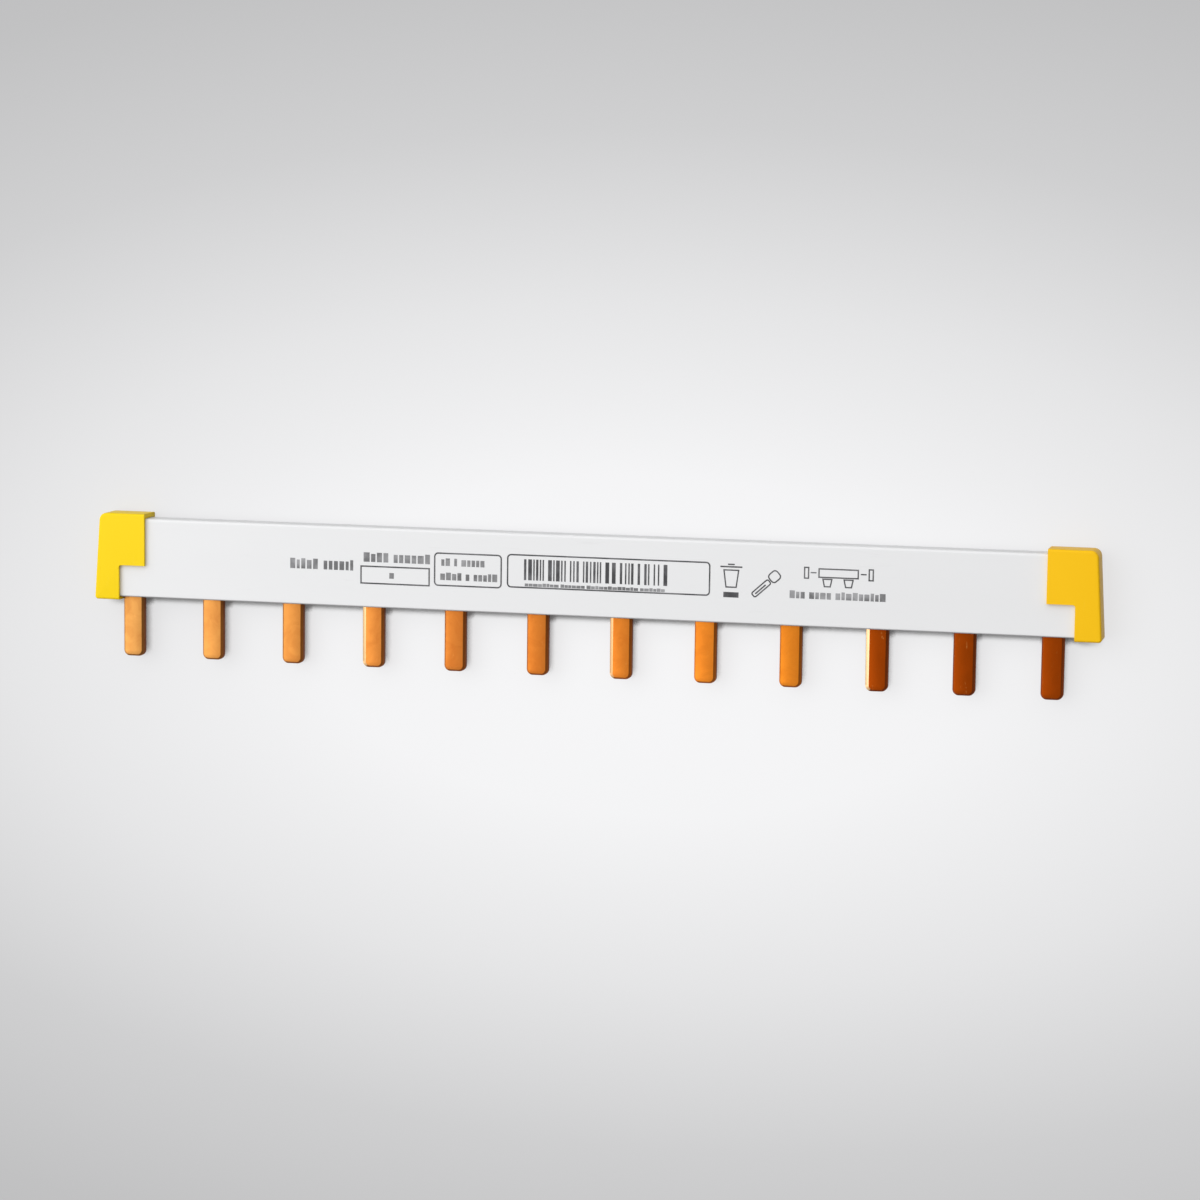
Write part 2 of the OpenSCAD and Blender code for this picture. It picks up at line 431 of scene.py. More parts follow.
def smudge_group():
    """Broad cloudy patches, as fingers and storage leave them."""
    tree, inputs, outputs = new_group("Smudges", {"Scale": 45.0, "Amount": 0.5}, ["Mask"])
    clouds = noise(tree, object_place(tree), inputs["Scale"], detail=5.0, roughness=0.62,
                   distortion=0.8)
    soft = ramp(tree, clouds, [(0.42, 0.0), (0.68, 1.0)])
    tree.links.new(times(tree, soft, inputs["Amount"], clamp=True), outputs["Mask"])
    return tree


def place_group(tree, name, make, values):
    """Places a group in a material with its own values. The group is made once."""
    node = add_node(tree, "ShaderNodeGroup", node_tree=bpy.data.node_groups.get(name) or make())
    for key, value in values.items():
        node.inputs[key].default_value = value
    return node.outputs


def grain(tree, scale, stretch=(1, 1, 1)):
    return place_group(tree, "Fine Grain", grain_group, {"Scale": scale, "Stretch": stretch})


def scuffs(tree, scale, amount, stretch):
    return place_group(tree, "Scuffs", scuff_group,
                       {"Scale": scale, "Amount": amount, "Stretch": stretch})["Mask"]


def smudges(tree, scale, amount):
    return place_group(tree, "Smudges", smudge_group, {"Scale": scale, "Amount": amount})["Mask"]


# ---------------------------------------------------------------------------
# Materials
# ---------------------------------------------------------------------------

def new_material(name, **constants):
    """A material whose shader has its constants set on its own sockets."""
    material = bpy.data.materials.new(name)
    material.use_nodes = True
    shader = material.node_tree.nodes["Principled BSDF"]
    for key, value in constants.items():
        shader.inputs[key.replace("_", " ")].default_value = value
    return material, material.node_tree, shader.inputs


def dimmed(base, share):
    return tuple(share * c for c in base)


def housing_material(finishes):
    """White extruded plastic: faint drawing lines along the bar, rubs, and a strip of painted shade
    along the mouth edge.
    """
    material, tree, shader = new_material("white_profile_plastic", IOR=1.5)
    drawn = grain(tree, scale=420.0, stretch=(0.02, 1.0, 1.0))
    skin = grain(tree, scale=2600.0)
    marks = scuffs(tree, scale=55.0, amount=0.55, stretch=(1.0, 9.0, 9.0))
    dull = smudges(tree, scale=38.0, amount=0.6)
    tone = mix_colour(tree, drawn["Tone"], dimmed(finishes.housing, 0.955), finishes.housing)
    worn = mix_colour(tree, times(tree, marks, 0.35), tone, RUBBED_WHITE)
    across = axes(tree, object_place(tree))["Y"]
    # Painted shade: a thin darker strip along the mouth edge
    at_mouth = fade(tree, across, HOUSING_LOW.y + MOUTH_SHADE_WIDTH, HOUSING_LOW.y)
    mouth_shade_mask = times(tree, ramp(tree, at_mouth, [(0.0, 0.0), (0.6, 1.0)]), 0.55)
    tree.links.new(mix_colour(tree, mouth_shade_mask, worn, finishes.mouth_shade), shader["Base Color"])
    rough = plus(tree, spread(tree, drawn["Height"], 0.34, 0.44), times(tree, dull, 0.10))
    tree.links.new(plus(tree, rough, times(tree, marks, 0.12)), shader["Roughness"])
    relief = plus(tree, drawn["Height"], times(tree, skin["Height"], 0.35))
    tree.links.new(bump(tree, relief, distance=0.03 * MM, strength=0.35), shader["Normal"])
    return material


def cap_material(name, base):
    """Yellow moulded plastic with a fine spark-eroded skin and a few rubs."""
    material, tree, shader = new_material(name, IOR=1.5, Specular_IOR_Level=0.15)
    deep = (base[0] * 0.96, base[1] * 0.93, base[2] * 0.8)
    skin = grain(tree, scale=3200.0)
    flow = grain(tree, scale=260.0, stretch=(1.0, 0.35, 1.0))
    marks = scuffs(tree, scale=120.0, amount=0.5, stretch=(6.0, 1.0, 6.0))
    tone = mix_colour(tree, flow["Tone"], deep, base)
    worn = mix_colour(tree, times(tree, marks, 0.25), tone, RUBBED_YELLOW)
    tree.links.new(worn, shader["Base Color"])
    rough = plus(tree, spread(tree, skin["Height"], 0.36, 0.50), times(tree, marks, 0.1))
    tree.links.new(rough, shader["Roughness"])
    tree.links.new(bump(tree, skin["Height"], distance=0.04 * MM, strength=0.5), shader["Normal"])
    return material


def copper_material(finishes):
    """Bare rolled copper, paler at the left and darker towards the right, with a painted highlight
    on the worn teeth's left bevels, and dull sheared faces that also paint the shade of the teeth's
    sides and of the bevels at the right and the tip.
    """
    material, tree, shader = new_material("bare_copper", Metallic=1.0)
    along = axes(tree, object_place(tree))["X"]
    share = fade(tree, along, TEETH_X[0], TEETH_X[-1])
    tone, coined, cut_and_shade = (add_node(tree, "ShaderNodeAttribute", attribute_name=name).outputs["Fac"]
                         for name in ("tooth_tone", "coined", "shear_and_shade"))
    rolled = grain(tree, scale=520.0, stretch=(1.0, 0.1, 1.0))
    clouds = smudges(tree, scale=260.0, amount=1.0)
    marks = scuffs(tree, scale=520.0, amount=1.0, stretch=(3.0, 1.0, 3.0))
    # Ramp along the bar: paler copper at the left, darker towards the right
    tone_along_bar = ramp(tree, share, [(0.0, finishes.fresh_copper), (0.22, finishes.mild_copper),
                              (0.40, finishes.warm_copper), (0.75, finishes.rich_copper),
                              (0.80, finishes.dark_copper)])
    toned = mix_colour(tree, 1.0, tone_along_bar, ramp(tree, tone, [(0.0, 0.95), (1.0, 1.0)]), "MULTIPLY")
    streaks = ramp(tree, rolled["Tone"], [(0.35, 0.80), (0.65, 1.0)])
    streaked = mix_colour(tree, 1.0, toned, streaks, "MULTIPLY")
    clouded = mix_colour(tree, times(tree, clouds, 0.2), streaked, finishes.dark_copper)
    # Painted highlight: the worn teeth's left bevels turn pale copper
    bright = mix_colour(tree, times(tree, coined, 0.78), clouded, COPPER_HIGHLIGHT)
    scratched = mix_colour(tree, times(tree, marks, 0.5), bright, finishes.fresh_copper)
    # Sheared look and painted shade: the teeth's sides and their bevels at the right and the tip
    # darken
    tree.links.new(mix_colour(tree, cut_and_shade, scratched, finishes.cut_and_shade_copper), shader["Base Color"])
    rough = plus(tree, spread(tree, rolled["Height"], 0.36, 0.46), times(tree, clouds, 0.08))
    worked = minus(tree, times(tree, cut_and_shade, 0.2), times(tree, coined, 0.12))
    tree.links.new(plus(tree, rough, worked), shader["Roughness"])
    relief = minus(tree, rolled["Height"], times(tree, marks, 0.5))
    tree.links.new(bump(tree, relief, distance=0.02 * MM, strength=0.35), shader["Normal"])
    return material


def ink_material(name, base):
    """Printed ink, thin in places, where it shows greyer."""
    material, tree, shader = new_material(name, Roughness=0.55, IOR=1.45)
    speckle = grain(tree, scale=2400.0)
    faded = tuple(min(1, 2.2 * c + 0.04) for c in base)
    thin = ramp(tree, speckle["Tone"], [(0.40, 0.0), (0.66, 1.0)])
    tree.links.new(mix_colour(tree, thin, base, faded), shader["Base Color"])
    tree.links.new(bump(tree, speckle["Height"], distance=0.01 * MM, strength=0.4),
                   shader["Normal"])
    return material


# ---------------------------------------------------------------------------
# Mesh helpers
# ---------------------------------------------------------------------------

def verts_of(geometry):
    return [g for g in geometry if isinstance(g, bmesh.types.BMVert)]


def round_edges(bm, edges, radius, segments):
    """Rounds edges by a radius and returns the new faces. One segment cuts a flat bevel."""
    return bmesh.ops.bevel(bm, geom=edges, affect="EDGES", offset=radius, offset_type="OFFSET",
                           segments=segments, profile=0.5, material=-1,
                           clamp_overlap=False)["faces"]


def outline_face(bm, points, z):
    """One face through (x, y) corners at a height."""
    return bm.faces.new([bm.verts.new((x, y, z)) for x, y in points])


def raise_faces(bm, height):
    """Gives flat faces a thickness, upwards."""
    grown = bmesh.ops.extrude_face_region(bm, geom=bm.faces[:])["geom"]
    bmesh.ops.translate(bm, verts=verts_of(grown), vec=(0, 0, height))


def extend_edge(bm, edge, move):
    """Extrudes an edge by what move gives for one of its corners, and returns the new edge."""
    moved = verts_of(bmesh.ops.extrude_edge_only(bm, edges=[edge])["geom"])
    bmesh.ops.translate(bm, verts=moved, vec=move(moved[0].co))
    return next(e for e in moved[0].link_edges if e.other_vert(moved[0]) in moved)


def upright_edges(bm, near):
    """Edges along Z whose (x, y) is one of the points."""
    def at(edge):
        a, b = (v.co for v in edge.verts)
        upright = math.hypot(a.x - b.x, a.y - b.y) < TINY
        return upright and any(math.hypot(a.x - x, a.y - y) < TINY for x, y in near)
    return [e for e in bm.edges if at(e)]


def is_level(edge):
    return abs(edge.verts[0].co.z - edge.verts[1].co.z) < TINY


def cube_between(bm, low, high):
    """A block from one corner to the other."""
    made = bmesh.ops.create_cube(bm, size=1)["verts"]
    size = [b - a for a, b in zip(low, high)]
    middle = [(a + b) / 2 for a, b in zip(low, high)]
    bmesh.ops.scale(bm, verts=made, vec=size)
    bmesh.ops.translate(bm, verts=made, vec=middle)


def finish_mesh(bm, name):
    """Merges doubles, turns the faces outwards and returns the mesh."""
    bmesh.ops.remove_doubles(bm, verts=bm.verts, dist=DOUBLE)
    bmesh.ops.recalc_face_normals(bm, faces=bm.faces)
    mesh = bpy.data.meshes.new(name)
    bm.to_mesh(mesh)
    bm.free()
    return mesh


def new_object(name, data):
    made = bpy.data.objects.new(name, data)
    bpy.context.scene.collection.objects.link(made)
    return made


def show(name, mesh, material, nodes=(), edge_from=EDGE_FROM):
    """Makes a piece of the object from a mesh, parents it to the root body and hides the CAD nodes
    that it replaces.
    """
    mesh.materials.clear()
    mesh.materials.append(material)
    mesh.shade_smooth()
    mesh.set_sharp_from_angle(angle=edge_from)
    piece = new_object(name, mesh)
    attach(piece, "root")
    if nodes:
        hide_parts(*nodes)


def combined(mesh, steps):
    """The mesh after boolean steps, each an operation with the mesh that it uses."""
    body = new_object("body_in_work", mesh)
    tools = []
    for operation, tool_mesh in steps:
        tool = new_object("tool_in_work", tool_mesh)
        tools.append(tool)
        step = body.modifiers.new(operation, "BOOLEAN")
        step.operation = operation
        step.solver = "EXACT"
        step.object = tool
    graph = bpy.context.evaluated_depsgraph_get()
    result = bpy.data.meshes.new_from_object(body.evaluated_get(graph))
    for used in [body, *tools]:
        bpy.data.objects.remove(used)
    return result


# ---------------------------------------------------------------------------
# Copper comb
# ---------------------------------------------------------------------------

def comb_outline(bm, sizes):
    """Flat outline of the strip: a row of faces for the spine, and two below each for a tooth."""
    half = sizes.tooth_width / 2
    spine_foot = COMB_HIGH.y - sizes.spine_height
    coin_top = HOUSING_LOW.y + sizes.coin_reach
    sides = [x + side * half for x in TEETH_X for side in (-1, 1)]
    start = [bm.verts.new((COMB_LOW.x, y, COMB_LOW.z)) for y in (spine_foot, COMB_HIGH.y)]
    edge = bm.edges.new(start)
    under_spine = []
    for x in [*sides, COMB_HIGH.x]:
        edge = extend_edge(bm, edge, lambda corner: (x - corner.x, 0, 0))
        spine_edges = edge.link_faces[0].edges
        under_spine.append(min(spine_edges, key=lambda e: sum(v.co.y for v in e.verts)))
    for edge in under_spine[1::2]:
        for y in (coin_top, COMB_LOW.y):
            edge = extend_edge(bm, edge, lambda corner: (0, y - corner.y, 0))
    return sides, spine_foot, coin_top


def nearest_tooth(x):
    return min(range(len(TEETH_X)), key=lambda i: abs(TEETH_X[i] - x))


def is_rim(edge, coin_top):
    """True for a sharp edge of the front or back, along a tooth or round its tip."""
    heights = [v.co.y for v in edge.verts]
    on_tooth = max(heights) < coin_top + TINY and min(heights) < coin_top - TINY
    return (on_tooth and is_level(edge) and len(edge.link_faces) == 2
            and edge.calc_face_angle() > COINED_FROM)


def widen_coins(sizes, coins, wear_and_highlight):
    """Widens the bevels on the front: at the left by wear, at the right and tip by the press."""
    half = sizes.tooth_width / 2
    back_coin_top = COMB_LOW.z + sizes.coin_width
    for corner in {v for face in coins for v in face.verts}:
        tooth = nearest_tooth(corner.co.x)
        across = (corner.co.x - TEETH_X[tooth]) / half
        if corner.co.z > COMB_HIGH.z - TINY:
            more = sizes.burnish * wear_and_highlight[tooth] if across < 0 else sizes.drag
            corner.co.x -= more * across
        elif corner.co.z > back_coin_top + TINY:
            more = sizes.drag * (wear_and_highlight[tooth] if across < 0 else 1)
            corner.co.z -= more * across


def coined_strip(bm, sizes):
    """Stamps the strip, with filleted roots and round tips, and returns its coined faces."""
    sides, spine_foot, coin_top = comb_outline(bm, sizes)
    raise_faces(bm, COMB_HIGH.z - COMB_LOW.z)
    roots = upright_edges(bm, [(x, spine_foot) for x in sides])
    round_edges(bm, roots, sizes.root_radius, segments=5)
    tips = upright_edges(bm, [(x, COMB_LOW.y) for x in sides])
    round_edges(bm, tips, sizes.tip_radius, segments=10)
    bmesh.ops.recalc_face_normals(bm, faces=bm.faces)
    rims = [e for e in bm.edges if is_rim(e, coin_top)]
    coins = set(round_edges(bm, rims, sizes.coin_width, segments=1))
    bmesh.ops.recalc_face_normals(bm, faces=bm.faces)
    bm.normal_update()
    return coins


def mark_faces(bm, layers, coins, tones, wear_and_highlight):
    """Stores on each face its painted highlight, its tooth's tone, and how much sheared look and
    painted shade it gets.
    """
    coined, tooth_tone, shear_and_shade = layers
    for face in bm.faces:
        tooth = nearest_tooth(face.calc_center_median().x)
        face[tooth_tone] = tones[tooth]
        # Side faces get the sheared look, partly painted shade of the teeth's dark sides
        face[shear_and_shade] = float(abs(face.normal.z) < TURNED)
        if face in coins:
            left = face.normal.x < -TURNED
            # The left bevels get a painted highlight as strong as the tooth's wear
            face[coined] = wear_and_highlight[tooth] if left else 0.0
            # The bevels at the right and round the tip get painted shade
            face[shear_and_shade] = 0.0 if left else RIGHT_AND_TIP_SHADE


def comb_mesh(sizes):
    """The comb, with coins as wide as each tooth's wear makes them and broken edges."""
    bm = bmesh.new()
    layers = [bm.faces.layers.float.new(name) for name in ("coined", "tooth_tone", "shear_and_shade")]
    coins = coined_strip(bm, sizes)
    spread_of = random.Random(sizes.seed)
    tones = [spread_of.random() for _ in TEETH_X]
    wear_and_highlight = [tone ** WEAR_AND_HIGHLIGHT_POWER for tone in tones]
    mark_faces(bm, layers, coins, tones, wear_and_highlight)
    widen_coins(sizes, coins, wear_and_highlight)
    broken = [e for e in bm.edges
              if len(e.link_faces) == 2 and e.calc_face_angle() > BROKEN_FROM]
    round_edges(bm, broken, sizes.break_edge, segments=2)
    return finish_mesh(bm, "copper_comb_piece")


# ---------------------------------------------------------------------------
# End caps
# ---------------------------------------------------------------------------

def cap_room(sizes, mouth_x, room_end):
    """The hollow that takes the housing's end, with the housing's own rounded edges."""
    bm = bmesh.new()
    fit = sizes.room_fit
    cube_between(bm, (mouth_x - OUTSIDE, HOUSING_LOW.y - fit, HOUSING_LOW.z - fit),
                 (room_end, HOUSING_HIGH.y + fit, HOUSING_HIGH.z + fit))
    long_edges = [e for e in bm.edges if abs(e.verts[0].co.x - e.verts[1].co.x) > TINY]
    round_edges(bm, long_edges, sizes.room_radius, segments=3)
    return finish_mesh(bm, "cap_room")


def cap_inner_parts(sizes, comb, mouth_x, room_end, step_y):
    """Crush ribs on the front and back walls, and the pad that stops the strip."""
    bm = bmesh.new()
    fit = sizes.room_fit + SUNK
    width = sizes.rib_width
    for y in (step_y + width, HOUSING_HIGH.y - sizes.room_radius - 2 * width):
        for low_z, high_z in ((HOUSING_LOW.z - fit, HOUSING_LOW.z),
                              (HOUSING_HIGH.z, HOUSING_HIGH.z + fit)):
            cube_between(bm, (mouth_x + sizes.rim_radius, y, low_z),
                         (room_end + SUNK, y + width, high_z))
    pad_foot = COMB_HIGH.y - comb.spine_height + comb.root_radius
    cube_between(bm, (room_end - sizes.pad_length, pad_foot, COMB_LOW.z),
                 (room_end + SUNK, COMB_HIGH.y - comb.root_radius, COMB_HIGH.z))
    return finish_mesh(bm, "cap_inner_parts")


def cap_form(sizes, low, high, foot_x, step_y):
    """Outside form of the cap at the +X end: drafted end wall, rounded corners and rims."""
    bm = bmesh.new()
    lean = math.tan(sizes.draft)
    heel_x = high.x + sizes.heel_radius * (math.cos(sizes.draft) - 1
                                           + (1 + math.sin(sizes.draft)) * lean)
    crown_x = heel_x - (high.y - low.y) * lean
    outline_face(bm, [(low.x, step_y), (low.x, high.y), (crown_x, high.y), (heel_x, low.y),
                      (foot_x, low.y), (foot_x, step_y)], low.z)
    raise_faces(bm, high.z - low.z)
    round_edges(bm, upright_edges(bm, [(crown_x, high.y)]), sizes.crown_radius, segments=14)
    round_edges(bm, upright_edges(bm, [(heel_x, low.y)]), sizes.heel_radius, segments=8)
    round_edges(bm, upright_edges(bm, [(foot_x, step_y)]), sizes.step_radius, segments=6)

    def on_rim(edge):
        """True for an edge of the front or back that lies outside the mouth and the step."""
        at_mouth = all(abs(v.co.x - low.x) < TINY for v in edge.verts)
        outside = any(v.co.x > foot_x + TINY or v.co.y > high.y - TINY for v in edge.verts)
        return is_level(edge) and outside and not at_mouth

    round_edges(bm, [e for e in bm.edges if on_rim(e)], sizes.rim_radius, segments=6)
    return finish_mesh(bm, "cap_form")


def cap_mesh(sizes, comb, right):
    """A hollow cap: one moulding, made for the right end and mirrored over for the left."""
    low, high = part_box("right_end_cap")
    low = Vector((high.x - sizes.upper_length, low.y, low.z))
    margin = min(CAD_BOX[1][0] - TEETH_X[-1], TEETH_X[0] - CAD_BOX[0][0])
    foot_x = high.x - margin + comb.tooth_width / 2 + sizes.tooth_gap
    step_y = low.y + sizes.step_height
    room_end = HOUSING_HIGH.x
    mesh = combined(cap_form(sizes, low, high, foot_x, step_y),
                    [("DIFFERENCE", cap_room(sizes, low.x, room_end)),
                     ("UNION", cap_inner_parts(sizes, comb, low.x, room_end, step_y))])
    if not right:
        mesh.transform(Matrix.Scale(-1, 4, (1, 0, 0)))
        mesh.flip_normals()
    return mesh


# ---------------------------------------------------------------------------
# Printed marks
# ---------------------------------------------------------------------------

def print_place(x, height):
    """Where a mark goes: x from the middle of the bar, height over the housing's mouth."""
    return Vector((x * MM, HOUSING_LOW.y + height * MM, HOUSING_HIGH.z))


def plate(bm, x0, x1, h0, h1, corner=0.0):
    """A flat plate of ink between places in millimetres, with corners of a radius in metres."""
    a = print_place(x0, h0)
    b = print_place(x1, h1)
    face = outline_face(bm, [a.xy, (b.x, a.y), b.xy, (a.x, b.y)], a.z)
    face.normal_update()
    if corner:
        made = bmesh.ops.bevel(bm, geom=face.verts[:], affect="VERTICES", offset=corner,
                               segments=5, profile=0.5, material=-1)
        face = made["verts"][0].link_faces[0]
    return face


def ring(bm, face, line):
    """Turns a plate into a frame: insets it by the line's width and removes the middle."""
    bmesh.ops.inset_region(bm, faces=[face], thickness=line, use_boundary=True,
                           use_even_offset=True)
    bmesh.ops.delete(bm, geom=[face], context="FACES_ONLY")


def taper(bm, face, share):
    """Narrows a plate's lower end about the plate's middle."""
    middle = face.calc_center_median()
    lower = [v for v in face.verts if v.co.y < middle.y]
    bmesh.ops.scale(bm, verts=lower, vec=(share, 1, 1), space=Matrix.Translation(-middle))


def turned(bm, first, place, lean):
    """Turns every face after the first ones about a place on the print."""
    bm.faces.ensure_lookup_table()
    corners = {v for face in bm.faces[first:] for v in face.verts}
    bmesh.ops.rotate(bm, verts=list(corners), cent=print_place(*place),
                     matrix=Matrix.Rotation(lean, 3, "Z"))


def container_sign(bm, line):
    """A plain tapered container with a lid, over a solid bar."""
    pot = plate(bm, *CONTAINER)
    taper(bm, pot, CONTAINER_TAPER)
    ring(bm, pot, line)
    for place in CONTAINER_PLATES:
        plate(bm, *place)


def tool_sign(bm, line):
    """A plain slanted hand tool: a long handle and a short round head."""
    first = len(bm.faces)
    for place in TOOL_RINGS:
        ring(bm, plate(bm, *place), line)
    plate(bm, *TOOL_SLOT)
    turned(bm, first, TOOL_PIVOT, TOOL_LEAN)


def bar_sign(bm, line):
    """A bar on two pegs, with a loose cap at each side."""
    ring(bm, plate(bm, *LONG_BAR), line)
    for place in PEGS:
        peg = plate(bm, *place)
        taper(bm, peg, PEG_TAPER)
        ring(bm, peg, line)
    for cap, dash in zip(LOOSE_CAPS, DASHES):
        ring(bm, plate(bm, *cap), line)
        plate(bm, *dash)


def block_line(bm, x0, x1, h0, h1, words, spread_of):
    """A line of letter-sized blocks, grouped like words. It stands for text and spells nothing."""
    height = h1 - h0
    gap = BLOCK_GAP * height
    word_gap = WORD_GAP * height
    room = (x1 - x0) - gap * (sum(words) - len(words)) - word_gap * (len(words) - 1)
    weights = [[BLOCK_LEAST + BLOCK_SPREAD * spread_of.random() for _ in range(n)] for n in words]
    unit = room / sum(sum(w) for w in weights)
    x = x0
    for word in weights:
        for weight in word:
            tall = spread_of.random() < TALL_BLOCKS
            top = h1 if tall else h1 - LOW_BLOCK_LACKS * height
            plate(bm, x, x + unit * weight, h0, top)
            x += unit * weight + gap
        x += word_gap - gap


def draw_frames(bm, marks):
    for *place, rounded in FRAMES:
        ring(bm, plate(bm, *place, marks.corner if rounded else 0), marks.line)


def draw_bars(bm, spread_of):
    """Upright bars of uneven width, which encode nothing."""
    x, end, h0, h1 = STRIPED_FIELD
    while x < end:
        width = spread_of.choice(BAR_WIDTHS)
        plate(bm, x, x + width, h0, h1)
        x += width + spread_of.choice(BAR_GAPS)


def draw_lines(bm, spread_of):
    for *place, words in BLOCK_LINES:
        block_line(bm, *place, words, spread_of)


def draw_signs(bm, marks):
    for sign in (container_sign, tool_sign, bar_sign):
        sign(bm, marks.sign_line)


# ---------------------------------------------------------------------------
# Studio
# ---------------------------------------------------------------------------

def floor_contact(tree, place):
    """How much the bar shades the floor's own tone: along its mouth, between the caps."""
    open_sky = add_node(tree, "ShaderNodeAmbientOcclusion", {"Distance": CONTACT_REACH},
                        samples=12).outputs["AO"]
    shaded = ramp(tree, open_sky, [(0.76, 0.88), (0.88, 0.0)])
    along, across, _ = axes(tree, place)
    teeth_side = fade(tree, across, HOUSING_LOW.y + CONTACT_FADE, HOUSING_LOW.y)
    between_caps = fade(tree, math_node(tree, "ABSOLUTE", along, 0), CAD_BOX[1][0],
                        HOUSING_HIGH.x - CONTACT_FADE)
    return times(tree, times(tree, teeth_side, between_caps), shaded)


def lay_floor(studio):
    """A pale floor with a painted pool of light round the bar. Part of its tone is its own, which
    thins the shadow.
    """
    bm = bmesh.new()
    bmesh.ops.create_grid(bm, x_segments=1, y_segments=1, size=FLOOR_REACH)
    floor = new_object("floor", finish_mesh(bm, "floor"))
    material, tree, shader = new_material("studio_floor", Roughness=0.9, Specular_IOR_Level=0.0,
                                          Emission_Strength=1.0)
    place = object_place(tree)
    # Painted pool of light: the floor's colour is lightest round the bar and darker outwards
    pool = add_node(tree, "ShaderNodeMapping", {"Vector": place, "Location": LIGHT_SPOT_PLACE,
                                                "Scale": LIGHT_SPOT_REACH},
                    vector_type="TEXTURE").outputs[0]
    far = vector_node(tree, "LENGTH", "Value", pool)
    tone = ramp(tree, far, [(p, dimmed(studio.floor_middle, share)) for p, share in LIGHT_SPOT_TONES])
    rays = add_node(tree, "ShaderNodeLightPath").outputs
    seen = math_node(tree, "MAXIMUM", rays["Is Camera Ray"], rays["Is Glossy Ray"])
    unshaded = minus(tree, 1, floor_contact(tree, place))
    own = times(tree, times(tree, seen, studio.floor_glow), unshaded)
    tree.links.new(mix_colour(tree, studio.floor_glow, tone, (0, 0, 0)), shader["Base Color"])
    tree.links.new(mix_colour(tree, own, (0, 0, 0), tone), shader["Emission Color"])
    floor.data.materials.append(material)


def set_world(studio):
    """Soft light all round; the camera sees a pale grey beyond the floor."""
    world = bpy.data.worlds.new("studio")
    bpy.context.scene.world = world
    world.use_nodes = True
    tree = world.node_tree
    background = tree.nodes["Background"]
    camera_ray = add_node(tree, "ShaderNodeLightPath").outputs["Is Camera Ray"]
    way = add_node(tree, "ShaderNodeTexCoord").outputs["Generated"]
    sky = ramp(tree, axes(tree, way)["Z"], SKY_TONES)
    towards = vector_node(tree, "DOT_PRODUCT", "Value", way, SHADY_SIDE)
    side = spread(tree, fade(tree, towards, -1.0, 1.0), LIT_SHARE, SHADY_SHARE)
    light = times(tree, times(tree, sky, side), studio.fill)
    tree.links.new(mix_colour(tree, camera_ray, light, BEYOND_FLOOR), background.inputs["Color"])


def set_lamps(studio):
    """One wide soft key above the bar, to its left and towards its back."""
    lamp = bpy.data.lights.new("key", "AREA")
    lamp.shape = "DISK"
    lamp.size = studio.key_size
    lamp.energy = studio.key_power
    key = new_object("key", lamp)
    key.location = KEY_PLACE
    key.rotation_euler = key.location.to_track_quat("Z", "Y").to_euler()


def set_camera(studio):
    """A long lens over the bar, leaning a little towards the right cap and the back."""
    target = Vector((ROW_MIDDLE + AIM[0], HOUSING_LOW.y + AIM[1], HOUSING_HIGH.z))
    flat = math.cos(studio.elevation)
    back = Vector((math.sin(studio.azimuth) * flat, math.sin(studio.elevation),
                   math.cos(studio.azimuth) * flat))
    right = (-back).cross(Vector((0, 1, 0))).normalized()
    up = right.cross(-back)
    turn = Matrix.Rotation(studio.roll, 3, back)
    columns = (turn @ right, turn @ up, back)
    lens = bpy.data.cameras.new("camera")
    lens.lens = studio.lens
    camera = new_object("camera", lens)
    camera.matrix_world = (Matrix.Translation(target + back * studio.distance)
                           @ Matrix(columns).transposed().to_4x4())
    bpy.context.scene.camera = camera


# ---------------------------------------------------------------------------
# Operators and panel
# ---------------------------------------------------------------------------

class MakeHousing(bpy.types.Operator):
    """Gives the extruded profile its white plastic"""
    bl_idname = "busbar.make_housing"
    bl_label = "Housing"

    def execute(self, context):
        housing = frame["nodes"]["housing"]
        housing.data.materials.clear()
        housing.data.materials.append(housing_material(context.scene.busbar.finishes))
        return {"FINISHED"}


class MakeComb(bpy.types.Operator):
    """Models the stamped copper comb"""
    bl_idname = "busbar.make_comb"
    bl_label = "Copper comb"

    def execute(self, context):
        settings = context.scene.busbar
        mesh = comb_mesh(settings.comb)
        show("comb", mesh, copper_material(settings.finishes), ["copper_comb"])
        return {"FINISHED"}


class MakeCaps(bpy.types.Operator):
    """Models the moulded cap at each end"""
    bl_idname = "busbar.make_caps"
    bl_label = "End caps"

    def execute(self, context):
        settings = context.scene.busbar
        finishes = settings.finishes
        for side, base in (("left", finishes.left_cap), ("right", finishes.right_cap)):
            material = cap_material(f"{side}_cap_plastic", base)
            mesh = cap_mesh(settings.caps, settings.comb, side == "right")
            show(f"{side}_cap", mesh, material, [f"{side}_end_cap"])
        return {"FINISHED"}


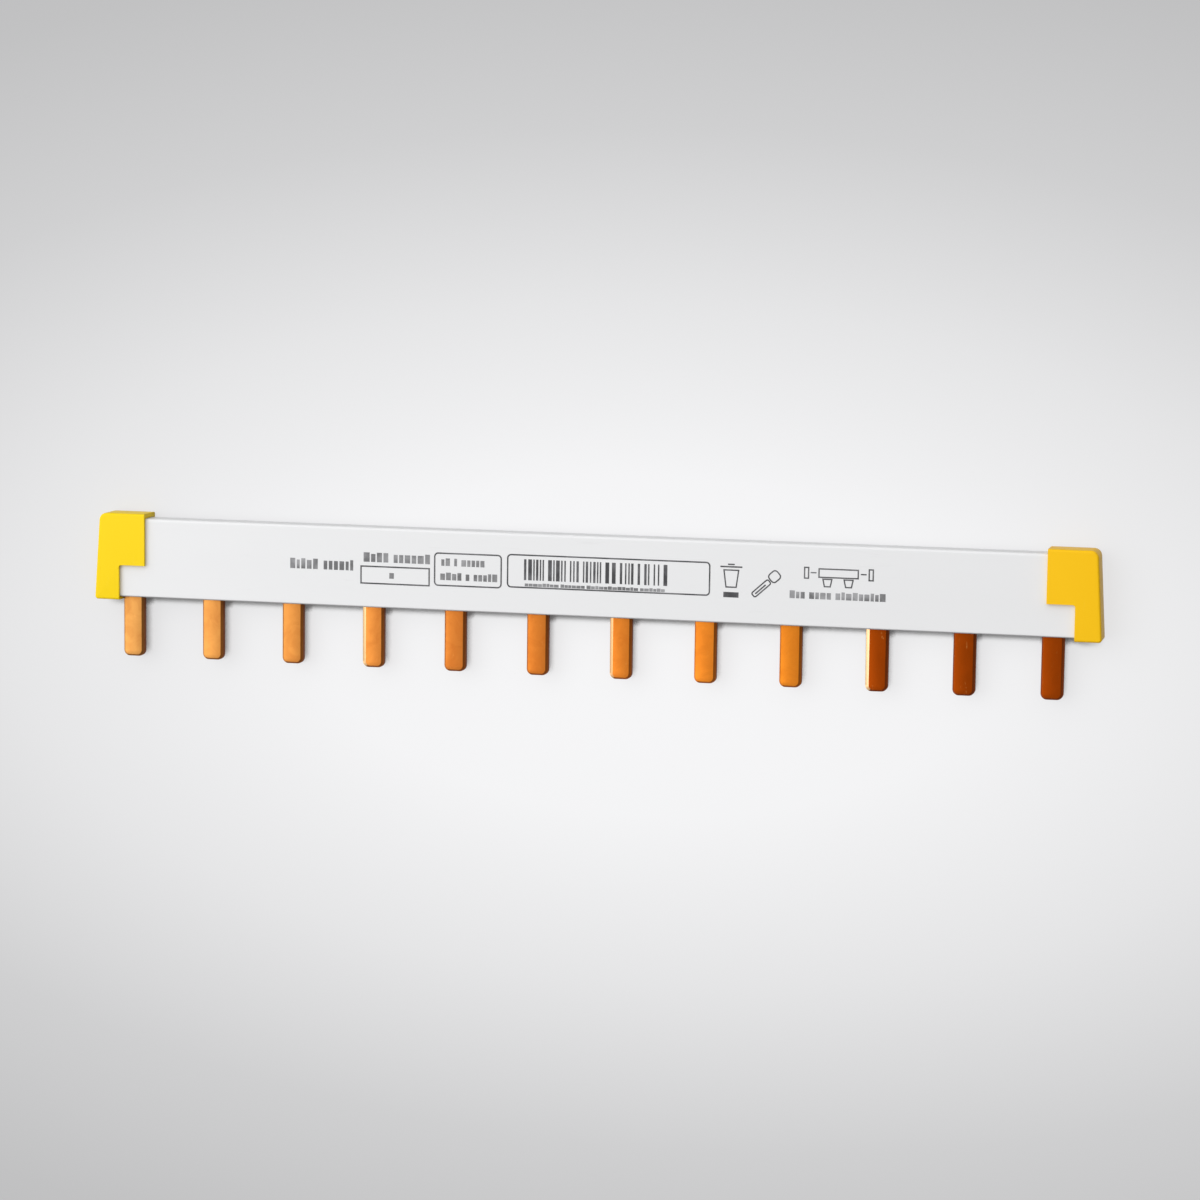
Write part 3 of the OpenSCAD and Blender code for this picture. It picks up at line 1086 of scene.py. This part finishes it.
class PrintMarks(bpy.types.Operator):
    """Prints the frames, striped field, block lines and signs on the housing's face"""
    bl_idname = "busbar.print_marks"
    bl_label = "Printed marks"

    def execute(self, context):
        marks = context.scene.busbar.marks
        finishes = context.scene.busbar.finishes
        ink = ink_material("marking_ink", finishes.ink)
        pale_ink = ink_material("pale_marking_ink", finishes.pale_ink)
        spread_of = random.Random(marks.seed)
        for name, draw, given, material in (("print_frames", draw_frames, marks, ink),
                                            ("print_bars", draw_bars, spread_of, ink),
                                            ("print_lines", draw_lines, spread_of, pale_ink),
                                            ("print_signs", draw_signs, marks, ink)):
            bm = bmesh.new()
            draw(bm, given)
            raise_faces(bm, marks.thickness)
            show(name, finish_mesh(bm, name), material,
                 edge_from=INK_EDGE_FROM)
        return {"FINISHED"}


class SetStage(bpy.types.Operator):
    """Lays the floor and sets the lamps and the camera"""
    bl_idname = "busbar.set_stage"
    bl_label = "Studio"

    def execute(self, context):
        studio = context.scene.busbar.studio
        lay_floor(studio)
        set_world(studio)
        set_lamps(studio)
        set_camera(studio)
        return {"FINISHED"}


class BusbarPanel(bpy.types.Panel):
    """Lists the steps and the sizes of the busbar"""
    bl_idname = "VIEW3D_PT_busbar"
    bl_label = "Comb Busbar"
    bl_space_type = "VIEW_3D"
    bl_region_type = "UI"
    bl_category = "Busbar"

    def draw(self, context):
        for step in STEPS:
            self.layout.operator(step.bl_idname)
        for group in BusbarSettings.__annotations__:
            box = self.layout.box()
            values = getattr(context.scene.busbar, group)
            for name in values.__annotations__:
                box.prop(values, name)


STEPS = (MakeHousing, MakeComb, MakeCaps, PrintMarks, SetStage)
CLASSES = (CombSizes, CapSizes, PrintSizes, Finishes, Studio, BusbarSettings, *STEPS, BusbarPanel)


def register():
    for kind in CLASSES:
        bpy.utils.register_class(kind)
    bpy.types.Scene.busbar = PointerProperty(type=BusbarSettings)


def unregister():
    del bpy.types.Scene.busbar
    for kind in reversed(CLASSES):
        bpy.utils.unregister_class(kind)


def main():
    register()
    bpy.context.scene.view_settings.view_transform = "Standard"
    bpy.ops.busbar.make_housing()
    bpy.ops.busbar.make_comb()
    bpy.ops.busbar.make_caps()
    bpy.ops.busbar.print_marks()
    bpy.ops.busbar.set_stage()


if __name__ == "__main__":
    main()
